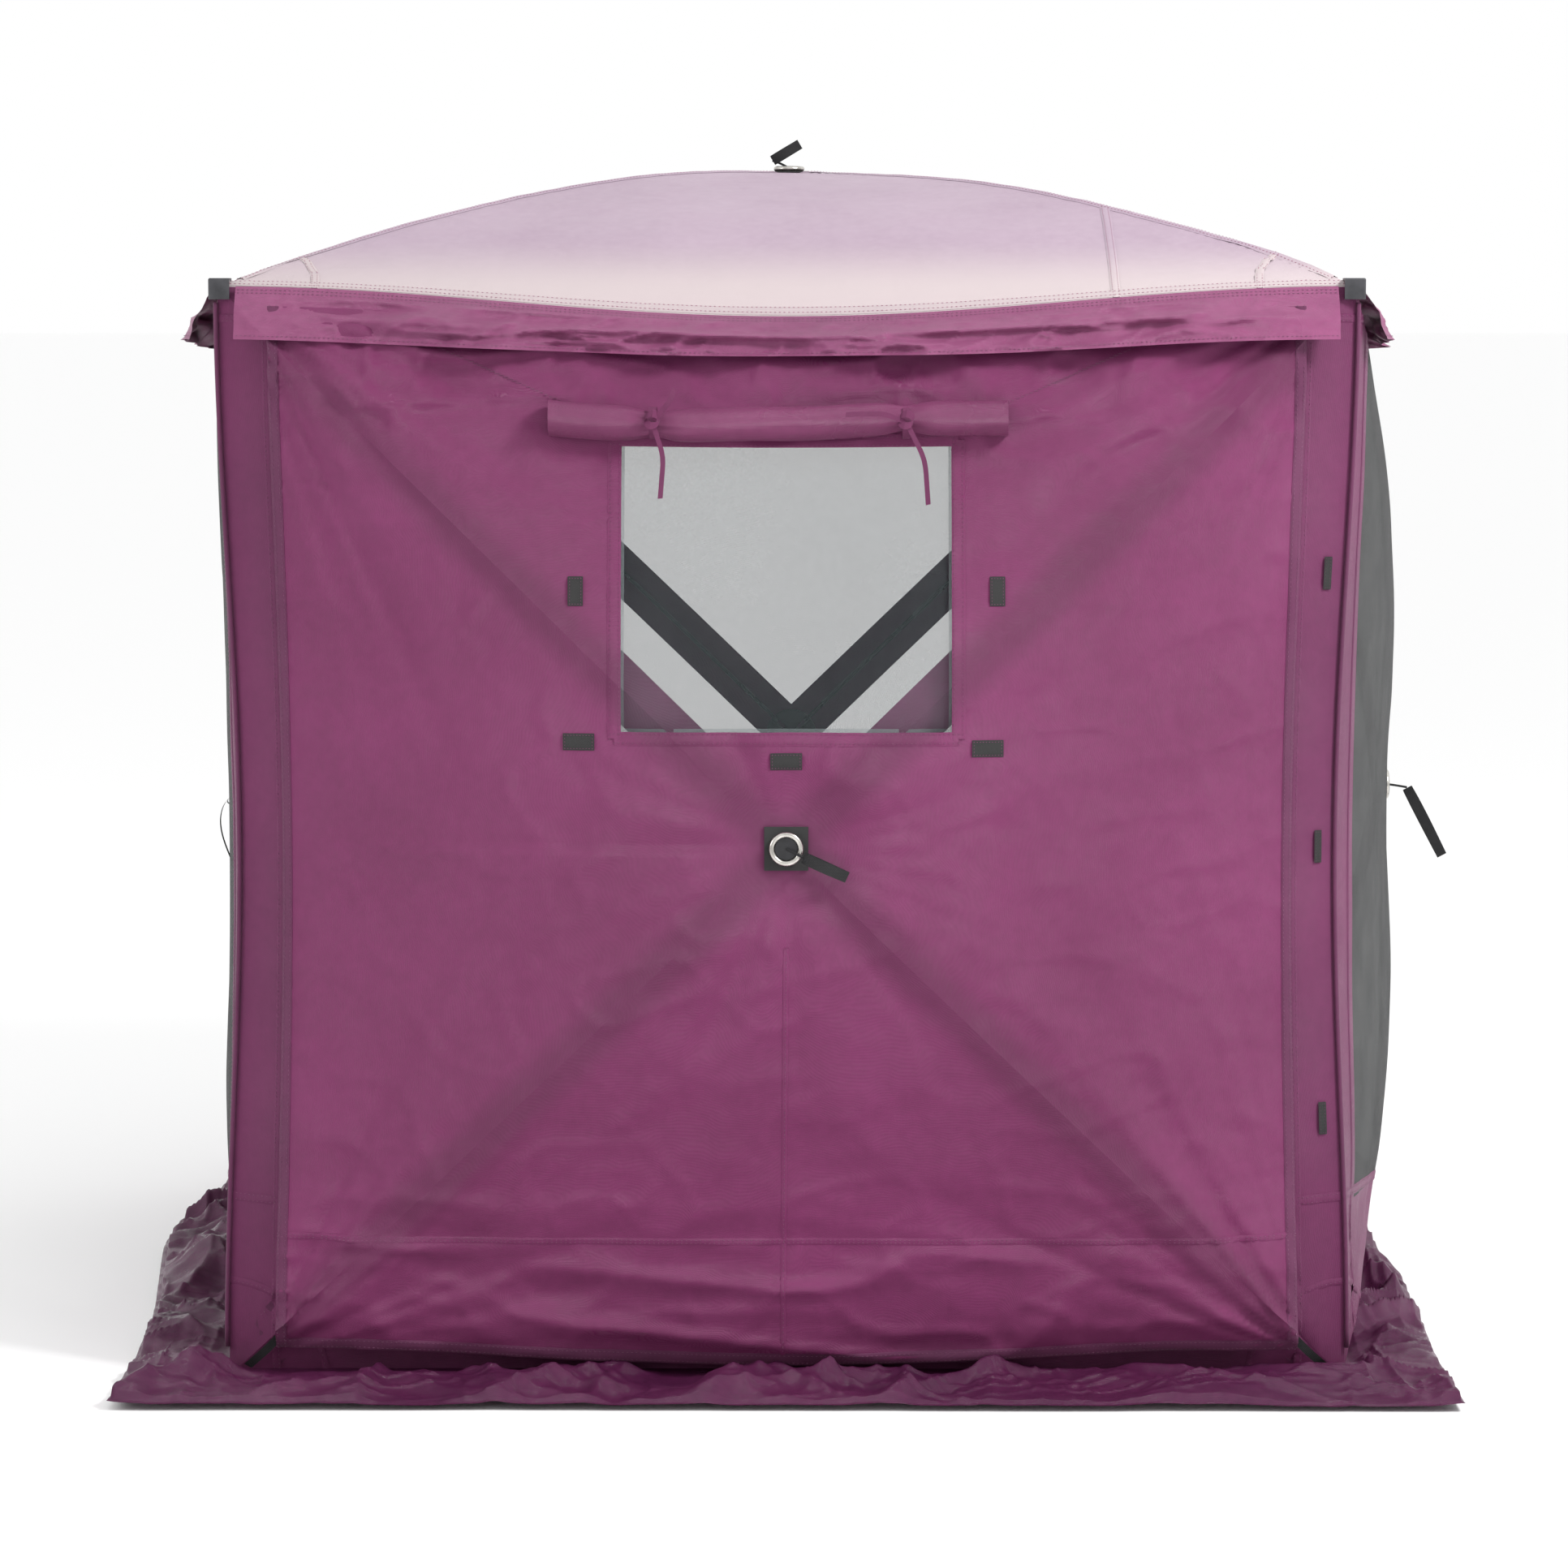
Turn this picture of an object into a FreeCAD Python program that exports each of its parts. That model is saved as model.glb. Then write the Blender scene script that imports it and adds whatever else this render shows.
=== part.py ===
"""A square pop-up hub ice fishing shelter, in millimetres.

Four walls and a roof each bow outward over four rods that meet at a hub. +Z is up, the front
wall faces -Y, and the origin is on the ice under the middle of the shelter.
Each face is built in its own frame, across, up and out from the centre of its base plane, and
then placed. A hub slides along out, and its rods swing about pins in the corner brackets.
"""
import FreeCAD
import Part

import math
import os

Vector = FreeCAD.Vector

# Driving dimensions
HALF_WIDTH = 915.0
WALL_HEIGHT = 1780.0
WALL_BULGE = 160.0
LEFT_WALL_BULGE = 75.0
ROOF_BULGE = 210.0
FABRIC = 2.0

# Rods, hubs and the corner forks that hold the rods
ROD_R = 4.0
EYE_R = 7.0
PIN_R = 2.5
PIN_CLEARANCE = 0.1
PIVOT_EDGE = 45.0
PIVOT_INSET = 20.0
HUB_R = 50.0
HUB_THICK = 18.0
HUB_DEPTH = 16.0
HUB_SLOT_R = 16.0
HUB_BOSS_R = 18.0
BOSS_PROUD = 6.0
ROD_TIP_R = 39.0
LUG_R = 8.0
LUG_THICK = 4.0
LUG_GAP = 4.5
FORK_LENGTH = 22.0
CORE_NEAR = 12.0
CORE_FAR = 36.0
FOOT_R = 22.0

# Soft parts
HUB_HOLE_R = 20.0
PATCH_SIDE = 70.0
RING_R = 23.0
RING_WIRE_R = 4.5
PANEL_LOW = 3.0
PANEL_HIGH = 5.0
PANEL_HALF = 830.0
PANEL_BOTTOM = 50.0
PANEL_TOP = 1750.0
WINDOW_HALF = 265.0
WINDOW_BOTTOM = 1074.0
WINDOW_TOP = 1538.0
ROLL_R = 30.0
ROLL_Z = 1570.0
ROLL_ENDS = (-378.0, 352.0)
ROLL_OUT = 108.5
TIE_ACROSS = (-212.0, 190.0)
TIE_WIDTH = 22.0
TIE_TAIL = 95.0
SKIRT_REACH = 250.0
SKIRT_RISE = 45.0
VALANCE_DROP = 84.0
VALANCE_HALF = 880.0
CAP_SIDE = 20.0
CAP_LOW = 10.0
CAP_HIGH = 14.0
PIPING_R = 4.0
ZIP_EDGE = 100.0
ZIP_BOTTOM = 150.0
ZIP_TOP = 1630.0
SLIDER_Z = 1600.0
SLIDER_OUT = 20.5
STRAP_WIDTH = 20.0
STRAP_THICK = 3.0
CORD_R = 2.0
GAP = 0.5


class Face:
    """One wall or the roof: its base plane's centre and directions, half sizes and bulge."""

    def __init__(self, name, centre, across, up, half_up, bulge, cover=0.0):
        self.name = name
        self.centre = Vector(*centre)
        self.across = Vector(*across)
        self.up = Vector(*up)
        self.out = self.across.cross(self.up)
        self.half_up = half_up
        self.bulge = bulge
        self.cover = cover
        self.hub_out = bulge - HUB_DEPTH

    def place(self, shape):
        """Moves a shape from the face's frame to the shelter's."""
        return placed(shape, self.across, self.up, self.out, self.centre)


HALF_HEIGHT = WALL_HEIGHT / 2
FACES = [
    Face("front", (0, -HALF_WIDTH, HALF_HEIGHT), (1, 0, 0), (0, 0, 1), HALF_HEIGHT, WALL_BULGE,
         PANEL_HIGH),
    Face("right", (HALF_WIDTH, 0, HALF_HEIGHT), (0, 1, 0), (0, 0, 1), HALF_HEIGHT, WALL_BULGE),
    Face("back", (0, HALF_WIDTH, HALF_HEIGHT), (-1, 0, 0), (0, 0, 1), HALF_HEIGHT, WALL_BULGE),
    Face("left", (-HALF_WIDTH, 0, HALF_HEIGHT), (0, -1, 0), (0, 0, 1), HALF_HEIGHT,
         LEFT_WALL_BULGE),
    Face("roof", (0, 0, WALL_HEIGHT), (1, 0, 0), (0, 1, 0), HALF_WIDTH, ROOF_BULGE),
]
WALLS = FACES[:4]
FRONT, LEFT = FACES[0], FACES[3]
CORNERS = [(1, 1), (-1, 1), (-1, -1), (1, -1)]


def placed(shape, x, y, z, at):
    """A copy of shape whose own axes point along x, y and z, with its origin at at."""
    matrix = FreeCAD.Matrix(x.x, y.x, z.x, at.x, x.y, y.y, z.y, at.y, x.z, y.z, z.z, at.z,
                            0, 0, 0, 1)
    moved = shape.copy()
    moved.Placement = FreeCAD.Placement(matrix).multiply(shape.Placement)
    return moved


def box(low, high):
    size = [b - a for a, b in zip(low, high)]
    return Part.makeBox(*size, Vector(*low))


def fused(shapes):
    whole = shapes[0].multiFuse(shapes[1:]) if len(shapes) > 1 else shapes[0]
    return whole.removeSplitter()


def prism(outline, along):
    """A closed outline of vectors, extruded."""
    return Part.Face(Part.makePolygon(outline + outline[:1])).extrude(along)


# ---- the bowed fabric faces ----

def arch(half, bulge, offset, way):
    """The space under a bow that spans 2 * half along way, grown by offset, as a long vault."""
    radius = (half * half + bulge * bulge) / (2 * bulge)
    base, reach = -1.0, 2 * HALF_WIDTH
    width = math.sqrt((radius + offset) ** 2 - (radius - bulge + base) ** 2)
    along = Vector(0, 0, 1).cross(way)
    start = along * -reach + Vector(0, 0, base)
    ends = [start + way * -width, start + way * width]
    crown = along * -reach + Vector(0, 0, bulge + offset)
    bow = Part.Arc(ends[0], crown, ends[1]).toShape()
    chord = Part.makeLine(ends[1], ends[0])
    return Part.Face(Part.Wire([bow, chord])).extrude(along * (2 * reach))


def dome(face, offset):
    """The space under a face's bowed skin grown by offset: two crossed vaults."""
    return (arch(HALF_WIDTH, face.bulge, offset, Vector(1, 0, 0))
            .common(arch(face.half_up, face.bulge, offset, Vector(0, 1, 0))))


def layer(face, inner, outer, across, up):
    """A layer of cloth on a face, between two offsets from its skin, within a rectangle."""
    column = box((across[0], up[0], 0), (across[1], up[1], face.bulge + outer + 20))
    return dome(face, outer).cut(dome(face, inner)).common(column)


def hub_hole(face):
    return Part.makeCylinder(HUB_HOLE_R, face.bulge * 2, Vector(0, 0, 0))


def skin(face):
    across, up = (-HALF_WIDTH, HALF_WIDTH), (-face.half_up, face.half_up)
    return face.place(layer(face, -FABRIC, 0, across, up).cut(hub_hole(face)))


def rectangle_on(face, inner, middle, size):
    """A small rectangle of cloth lying on a wall, its middle given as across and height."""
    across = (middle[0] - size[0] / 2, middle[0] + size[0] / 2)
    up = (middle[1] - HALF_HEIGHT - size[1] / 2, middle[1] - HALF_HEIGHT + size[1] / 2)
    return face.place(layer(face, inner, inner + FABRIC, across, up))


# ---- rods, hubs and brackets ----

def pivot(face, corner):
    return Vector(corner[0] * (HALF_WIDTH - PIVOT_EDGE), corner[1] * (face.half_up - PIVOT_EDGE),
                  -PIVOT_INSET)


def toward_hub(face, corner):
    """The unit direction in the base plane from a pivot to the hub's axis, and the distance."""
    at = pivot(face, corner)
    distance = math.hypot(at.x, at.y)
    return Vector(-at.x / distance, -at.y / distance, 0), distance


def rod(face, corner):
    """One fibreglass rod with its pinned eye, leaning out from the corner to the hub."""
    flat, distance = toward_hub(face, corner)
    rise = face.hub_out + PIVOT_INSET
    run = distance - ROD_TIP_R
    length = math.hypot(run, rise)
    eye = Part.makeCylinder(EYE_R, 2 * ROD_R, Vector(0, -ROD_R, 0), Vector(0, 1, 0))
    shaft = Part.makeCylinder(ROD_R, length, Vector(0, 0, 0), Vector(1, 0, 0))
    tip = Part.makeSphere(ROD_R, Vector(length, 0, 0))
    bore = Part.makeCylinder(PIN_R + PIN_CLEARANCE, 4 * ROD_R, Vector(0, -2 * ROD_R, 0),
                             Vector(0, 1, 0))
    along = (flat * run + Vector(0, 0, rise)) * (1 / length)
    hinge = Vector(0, 0, 1).cross(flat)
    whole = fused([shaft, eye, tip]).cut(bore)
    return face.place(placed(whole, along, hinge, along.cross(hinge), pivot(face, corner)))


def fork(face, corner):
    """Two lugs and the web behind them, which hold one rod's eye."""
    flat, _ = toward_hub(face, corner)
    half = LUG_GAP + LUG_THICK
    web = box((-FORK_LENGTH, -half, -LUG_R), (-CORE_NEAR, half, LUG_R))
    parts = [web]
    for low in (-half, LUG_GAP):
        parts.append(box((-FORK_LENGTH, low, -LUG_R), (0, low + LUG_THICK, LUG_R)))
        parts.append(Part.makeCylinder(LUG_R, LUG_THICK, Vector(0, low, 0), Vector(0, 1, 0)))
    whole = fused(parts).cut(pin_cylinder(half + 1))
    hinge = Vector(0, 0, 1).cross(flat)
    return face.place(placed(whole, flat, hinge, Vector(0, 0, 1), pivot(face, corner)))


def pin_cylinder(half):
    return Part.makeCylinder(PIN_R, 2 * half, Vector(0, -half, 0), Vector(0, 1, 0))


def pin(face, corner):
    flat, _ = toward_hub(face, corner)
    hinge = Vector(0, 0, 1).cross(flat)
    return face.place(placed(pin_cylinder(LUG_GAP + LUG_THICK), flat, hinge, Vector(0, 0, 1),
                             pivot(face, corner)))


def near(point, side):
    """True for a pin whose place is by the shelter's corner side."""
    return point.x * side[0] > 0 and point.y * side[1] > 0


def forks_at(side, top):
    """The forks that meet at one of the eight corners."""
    found = []
    for face in FACES:
        for corner in CORNERS:
            shape = fork(face, corner)
            middle = shape.BoundBox.Center
            if near(middle, side) and (middle.z > HALF_HEIGHT) == top:
                found.append(shape)
    return found


def core(side, low):
    """The block at a corner that its forks grow from."""
    spans = [sorted((s * (HALF_WIDTH - CORE_NEAR), s * (HALF_WIDTH - CORE_FAR))) for s in side]
    size = CORE_FAR - CORE_NEAR
    return box((spans[0][0], spans[1][0], low), (spans[0][1], spans[1][1], low + size))


def top_corner_brackets():
    return [fused([core(side, WALL_HEIGHT - CORE_FAR)] + forks_at(side, True))
            for side in CORNERS]


def foot_brackets():
    feet = []
    for side in CORNERS:
        middle = HALF_WIDTH - (CORE_NEAR + CORE_FAR) / 2
        pad = Part.makeCylinder(FOOT_R, CORE_NEAR, Vector(side[0] * middle, side[1] * middle, 0))
        feet.append(fused([core(side, CORE_NEAR), pad] + forks_at(side, False)))
    return feet


def hub(face):
    """A round moulding with one open slot for each rod tip and a boss through the fabric."""
    low = face.hub_out - HUB_THICK / 2
    top = face.bulge + face.cover + BOSS_PROUD
    disc = Part.makeCylinder(HUB_R, HUB_THICK, Vector(0, 0, low))
    half = ROD_R + GAP
    slot = box((HUB_SLOT_R + half, -half, low - 1), (HUB_R + 5, half, low + HUB_THICK + 1))
    slot_end = Part.makeCylinder(half, HUB_THICK + 2, Vector(HUB_SLOT_R + half, 0, low - 1))
    slot = slot.fuse(slot_end)
    up = Vector(0, 0, 1)
    for corner in CORNERS:
        flat, _ = toward_hub(face, corner)
        disc = disc.cut(placed(slot, flat * -1, up.cross(flat * -1), up, Vector(0, 0, 0)))
    boss_low = low + HUB_THICK
    boss = Part.makeCylinder(HUB_BOSS_R, top - boss_low, Vector(0, 0, boss_low))
    return face.place(fused([disc, boss]))


def hub_patch(face):
    half = PATCH_SIDE / 2
    low = face.bulge + face.cover + GAP
    square = box((-half, -half, low), (half, half, low + FABRIC))
    hole = Part.makeCylinder(HUB_BOSS_R + GAP, face.bulge * 2, Vector(0, 0, 0))
    return face.place(square.cut(hole))


def hub_ring(face):
    height = face.bulge + face.cover + 2 * GAP + FABRIC + RING_WIRE_R
    return face.place(Part.makeTorus(RING_R, RING_WIRE_R, Vector(0, 0, height)))


def bar(start, end, width, thick, flat_way):
    """A flat strip between two points, its width square to flat_way."""
    along = end - start
    x = along * (1 / along.Length)
    y = flat_way.cross(x)
    y = y * (1 / y.Length)
    strip = box((0, -width / 2, -thick / 2), (along.Length, width / 2, thick / 2))
    return placed(strip, x, y, x.cross(y), start)


def pull_strap(face):
    """The cord that a hub is pulled out by, and the webbing loop on it as one flat strip."""
    knuckle, end = {
        "front": ((27, -12, 20), (98, -44, 22)),
        "right": ((0, -6, 46), (0, -132, 112)),
        "roof": ((-30, 0, 22), (20, 0, 52)),
    }.get(face.name, ((0, -26, 26), (0, -150, 20)))
    rise = Vector(0, 0, face.bulge + face.cover)
    start = rise + Vector(0, 0, BOSS_PROUD + CORD_R + GAP)
    knuckle, end = rise + Vector(*knuckle), rise + Vector(*end)
    cord = Part.makeCylinder(CORD_R, (knuckle - start).Length, start, knuckle - start)
    loop = bar(knuckle, end, STRAP_WIDTH, STRAP_THICK, Vector(0, 0, 1))
    return face.place(fused([cord, loop]))


# ---- sewn pieces ----

def wind_panel():
    up = (PANEL_BOTTOM - HALF_HEIGHT, PANEL_TOP - HALF_HEIGHT)
    whole = layer(FRONT, PANEL_LOW, PANEL_HIGH, (-PANEL_HALF, PANEL_HALF), up)
    opening = box((-WINDOW_HALF, WINDOW_BOTTOM - HALF_HEIGHT, -1),
                  (WINDOW_HALF, WINDOW_TOP - HALF_HEIGHT, 2 * WALL_BULGE))
    return FRONT.place(whole.cut(opening).cut(hub_hole(FRONT)))


def window_screen():
    half = WINDOW_HALF - GAP
    up = (WINDOW_BOTTOM - HALF_HEIGHT + GAP, WINDOW_TOP - HALF_HEIGHT - GAP)
    return FRONT.place(layer(FRONT, PANEL_LOW, PANEL_HIGH, (-half, half), up))


def flap_roll():
    left, right = ROLL_ENDS
    return FRONT.place(Part.makeCylinder(ROLL_R, right - left,
                                         Vector(left, ROLL_Z - HALF_HEIGHT, ROLL_OUT),
                                         Vector(1, 0, 0)))


def flap_ties():
    """Each ribbon goes once round the rolled flap and hangs down below it."""
    ties = []
    middle = ROLL_Z - HALF_HEIGHT
    inner, outer = ROLL_R + 1, ROLL_R + 3
    for across in TIE_ACROSS:
        start = Vector(across - TIE_WIDTH / 2, middle, ROLL_OUT)
        band = Part.makeCylinder(outer, TIE_WIDTH, start, Vector(1, 0, 0))
        band = band.cut(Part.makeCylinder(inner, TIE_WIDTH, start, Vector(1, 0, 0)))
        tail = box((start.x, middle - outer - TIE_TAIL, ROLL_OUT - 1),
                   (start.x + TIE_WIDTH, middle - inner - 1, ROLL_OUT + 1))
        ties.append(FRONT.place(fused([band, tail])))
    return ties


def hook_loop_patches():
    """Patches that hold the window flap, on the panel, and three on the wall beside it."""
    low = PANEL_HIGH + GAP
    upright, level, edge = (24, 47), (50, 27), (14, 53)
    patches = [rectangle_on(FRONT, low, (side * 335, 1300), upright) for side in (-1, 1)]
    patches += [rectangle_on(FRONT, low, at, level)
                for at in ((-330, 1060), (0, 1030), (320, 1050))]
    patches += [rectangle_on(FRONT, GAP, (885, height), edge) for height in (430, 875, 1320)]
    return patches


def panel_corner_straps():
    straps = []
    for side in (-1, 1):
        start = Vector(side * 838, 62 - HALF_HEIGHT, 30)
        end = Vector(side * 895, 34 - HALF_HEIGHT, 54)
        straps.append(FRONT.place(bar(start, end, STRAP_WIDTH, STRAP_THICK, Vector(0, 0, 1))))
    return straps


def roof_valances():
    bottom = HALF_HEIGHT - VALANCE_DROP
    top = HALF_HEIGHT + 1
    section = [(7, top), (10, top), (46, bottom), (43, bottom)]
    outline = [Vector(-VALANCE_HALF, up, out) for out, up in section]
    return [face.place(prism(outline, Vector(2 * VALANCE_HALF, 0, 0))) for face in WALLS]


def snow_skirt():
    """A length of cloth from each wall's foot out over the ice, mitred at the corners."""
    ground = -HALF_HEIGHT
    reach = HALF_WIDTH + SKIRT_REACH
    section = [(60, 0), (SKIRT_REACH, 0), (SKIRT_REACH, 3), (64, 5), (26, SKIRT_RISE),
               (22, SKIRT_RISE)]
    outline = [Vector(-reach, ground + up, out) for out, up in section]
    mitre = [Vector(GAP - HALF_WIDTH, ground, 0), Vector(HALF_WIDTH - GAP, ground, 0),
             Vector(reach - GAP, ground, SKIRT_REACH), Vector(GAP - reach, ground, SKIRT_REACH)]
    length = prism(outline, Vector(2 * reach, 0, 0))
    side = length.common(prism(mitre, Vector(0, SKIRT_RISE + 1, 0)))
    return [face.place(side) for face in WALLS]


def corner_piping():
    out = HALF_WIDTH + PIPING_R - 0.5
    bottom, top = SKIRT_RISE + 3, WALL_HEIGHT - CAP_SIDE - 5
    return [Part.makeCylinder(PIPING_R, top - bottom, Vector(x * out, y * out, bottom))
            for x, y in CORNERS]


def corner_caps():
    """A small outside cap over each top corner."""
    caps = []
    for side in CORNERS:
        shape = box((-CAP_SIDE, -CAP_SIDE, -CAP_SIDE), (CAP_HIGH, CAP_HIGH, CAP_HIGH))
        shape = shape.makeFillet(3, [e for e in shape.Edges
                                     if e.BoundBox.Center.x + e.BoundBox.Center.y
                                     + e.BoundBox.Center.z > CAP_HIGH])
        reach = CAP_SIDE + 1
        shape = shape.cut(box((-reach, -reach, -reach), (CAP_LOW, CAP_LOW, CAP_LOW)))
        x, y = Vector(side[0], 0, 0), Vector(0, side[1], 0)
        if side[0] * side[1] < 0:
            x, y = y, x
        caps.append(placed(shape, x, y, Vector(0, 0, 1),
                           Vector(side[0] * HALF_WIDTH, side[1] * HALF_WIDTH, WALL_HEIGHT)))
    return caps


def door_zip():
    """The closed door's zip, straight up the wall where the fabric's bow is constant."""
    middle = (ZIP_EDGE - HALF_WIDTH, (ZIP_BOTTOM + ZIP_TOP) / 2)
    return rectangle_on(LEFT, GAP, middle, (16, ZIP_TOP - ZIP_BOTTOM))


def zip_slider():
    """The slider and its pull, which run just proud of the zip."""
    across, up = ZIP_EDGE - HALF_WIDTH, SLIDER_Z - HALF_HEIGHT
    out = SLIDER_OUT
    body = box((across - 6, up - 15, out), (across + 6, up + 15, out + 6))
    bridge = box((across - 2, up - 12, out + 5), (across + 2, up + 12, out + 9))
    pull = box((across - 4, up - 50, out + 7), (across + 4, up - 8, out + 9))
    return LEFT.place(fused([body, bridge, pull]))


def export(name, shapes):
    shapes = shapes if isinstance(shapes, list) else [shapes]
    solids = [solid for shape in shapes for solid in shape.Solids]
    whole = solids[0] if len(solids) == 1 else Part.makeCompound(solids)
    whole.exportStep(f"parts/{name}.step")
    print(name, len(solids), "solids, valid", whole.isValid(), round(whole.Volume / 1000), "cm3")


def main():
    os.makedirs("parts", exist_ok=True)
    for face in WALLS:
        export(f"wall_{face.name}", skin(face))
    export("roof_canopy", skin(FACES[4]))
    for face in FACES:
        export(f"hub_{face.name}", hub(face))
        export(f"hub_patch_{face.name}", hub_patch(face))
        export(f"hub_ring_{face.name}", hub_ring(face))
        export(f"pull_strap_{face.name}", pull_strap(face))
        for number, corner in enumerate(CORNERS, 1):
            export(f"rod_{face.name}_{number}", rod(face, corner))
    pieces = [top_corner_brackets, foot_brackets, corner_caps, corner_piping, roof_valances,
              snow_skirt, wind_panel, window_screen, flap_roll, flap_ties, hook_loop_patches,
              panel_corner_straps, door_zip, zip_slider]
    for piece in pieces:
        export(piece.__name__, piece())
    export("pivot_pins", [pin(face, corner) for face in FACES for corner in CORNERS])


main()
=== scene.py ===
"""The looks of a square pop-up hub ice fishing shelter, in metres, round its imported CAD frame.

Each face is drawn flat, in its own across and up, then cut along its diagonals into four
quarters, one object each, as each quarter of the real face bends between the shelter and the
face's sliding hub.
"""
import math

import bmesh
import bpy
import numpy as np
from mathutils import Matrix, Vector


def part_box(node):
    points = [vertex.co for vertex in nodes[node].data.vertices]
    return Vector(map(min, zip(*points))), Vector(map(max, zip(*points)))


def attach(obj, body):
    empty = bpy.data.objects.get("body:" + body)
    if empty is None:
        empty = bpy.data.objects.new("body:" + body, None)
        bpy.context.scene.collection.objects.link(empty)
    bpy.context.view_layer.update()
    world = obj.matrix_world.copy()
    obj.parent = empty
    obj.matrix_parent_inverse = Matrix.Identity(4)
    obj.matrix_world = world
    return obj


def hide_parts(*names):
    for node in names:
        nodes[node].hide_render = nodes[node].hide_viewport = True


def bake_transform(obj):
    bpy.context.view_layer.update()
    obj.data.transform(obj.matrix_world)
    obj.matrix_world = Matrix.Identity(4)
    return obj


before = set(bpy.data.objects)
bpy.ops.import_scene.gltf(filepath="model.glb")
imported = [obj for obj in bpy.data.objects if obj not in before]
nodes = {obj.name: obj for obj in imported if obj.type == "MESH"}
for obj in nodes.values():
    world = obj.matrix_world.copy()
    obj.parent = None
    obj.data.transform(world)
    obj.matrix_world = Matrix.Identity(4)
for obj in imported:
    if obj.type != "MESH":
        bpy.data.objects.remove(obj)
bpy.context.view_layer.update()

ROOT = "shelter"
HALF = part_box("wall_front")[1].x
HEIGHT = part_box("wall_front")[1].z
MID = HEIGHT / 2
PANEL_LIFT = 0.004
BLEND_START = {"left": 0.874}
BLEND_START_USUAL = 0.93
CORNER_BOW = 0.026
EAVE_SAG = 0.048
EAVE_PULL = 0.02
HUB_HOLE = 0.024
DIAGONAL_REACH = 0.965
CORNERS = ((1, 1), (-1, 1), (-1, -1), (1, -1))
SMALL = 1e-9


# ---- noise ----

LATTICE = np.random.default_rng(11).random((256, 256))


def noise(x, y, seed):
    """Smooth noise from -1 to 1, one feature to a unit."""
    x, y = np.asarray(x) + 17.31 * seed, np.asarray(y) + 9.73 * seed
    i, j = np.floor(x).astype(int), np.floor(y).astype(int)
    fx, fy = x - i, y - j
    fx, fy = fx * fx * (3 - 2 * fx), fy * fy * (3 - 2 * fy)
    i, j, i1, j1 = i % 256, j % 256, (i + 1) % 256, (j + 1) % 256
    low = LATTICE[i, j] * (1 - fx) + LATTICE[i1, j] * fx
    high = LATTICE[i, j1] * (1 - fx) + LATTICE[i1, j1] * fx
    return 2 * (low * (1 - fy) + high * fy) - 1


def crease(x, y, seed, sharp=2.0):
    """Narrow ridges from 0 to 1, where the noise crosses zero."""
    return np.clip(1 - np.abs(noise(x, y, seed)) * sharp, 0, 1) ** 1.5


def fan(u, v, centre, reach, spokes, seed):
    """Pull lines that spread from a point where the cloth is held."""
    du, dv = u - centre[0], v - centre[1]
    r = np.hypot(du, dv) + SMALL
    c, s = du / r, dv / r
    lines = crease(c * spokes + r * 1.2, s * spokes, seed)
    return lines * np.exp(-r / reach) * (1 - np.exp(-r / 0.05))


def rays(u, v, centre, spokes, seed, reach):
    """Soft folds that spread from a point where the cloth is held, from 0 to 2."""
    du, dv = u - centre[0], v - centre[1]
    r = np.hypot(du, dv) + SMALL
    angle = np.arctan2(dv, du)
    ring = spokes / (2 * math.pi)
    soft = noise(ring * angle + 40, r * 0.7, seed)
    soft = soft + 0.5 * noise(2.3 * ring * angle + 9, r, seed + 1)
    return (1 + soft) * np.exp(-r / reach) * (1 - np.exp(-r / 0.06))


# ---- faces ----

class Face:
    """A wall or the roof, with the directions and sizes that its CAD skin has."""

    def __init__(self, name, centre, across, up, half_up, node):
        self.name = name
        self.hub = f"hub_{name}"
        self.centre = np.array(centre)
        self.across = np.array(across, float)
        self.up = np.array(up, float)
        self.out = np.cross(self.across, self.up)
        self.half_up = half_up
        self.node = node
        low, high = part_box(node)
        ends = np.array([low, high])
        self.bulge = float(np.abs((ends - self.centre) @ self.out).max())
        self.start = BLEND_START.get(name, BLEND_START_USUAL)

    def share(self, u, v):
        """0 at the hub and 1 along the face's edge."""
        return np.maximum(np.abs(u) / HALF, np.abs(v) / self.half_up)

    def bow(self, u, v):
        """How far the face stands out of its flat plane."""
        s = np.clip(self.share(u, v), 0, 1)
        return self.bulge * (1 - s * s)

    def world(self, u, v, out):
        """Points of the face, from across, up and out, in the shared frame."""
        flat = (self.centre + np.outer(u, self.across) + np.outer(v, self.up)
                + np.outer(out, self.out))
        return warp(flat)


WALLS = [
    Face("front", (0, -HALF, MID), (1, 0, 0), (0, 0, 1), MID, "wall_front"),
    Face("right", (HALF, 0, MID), (0, 1, 0), (0, 0, 1), MID, "wall_right"),
    Face("back", (0, HALF, MID), (-1, 0, 0), (0, 0, 1), MID, "wall_back"),
    Face("left", (-HALF, 0, MID), (0, -1, 0), (0, 0, 1), MID, "wall_left"),
]
ROOF = Face("roof", (0, 0, HEIGHT), (1, 0, 0), (0, 1, 0), HALF, "roof_canopy")
FRONT = WALLS[0]


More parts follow.
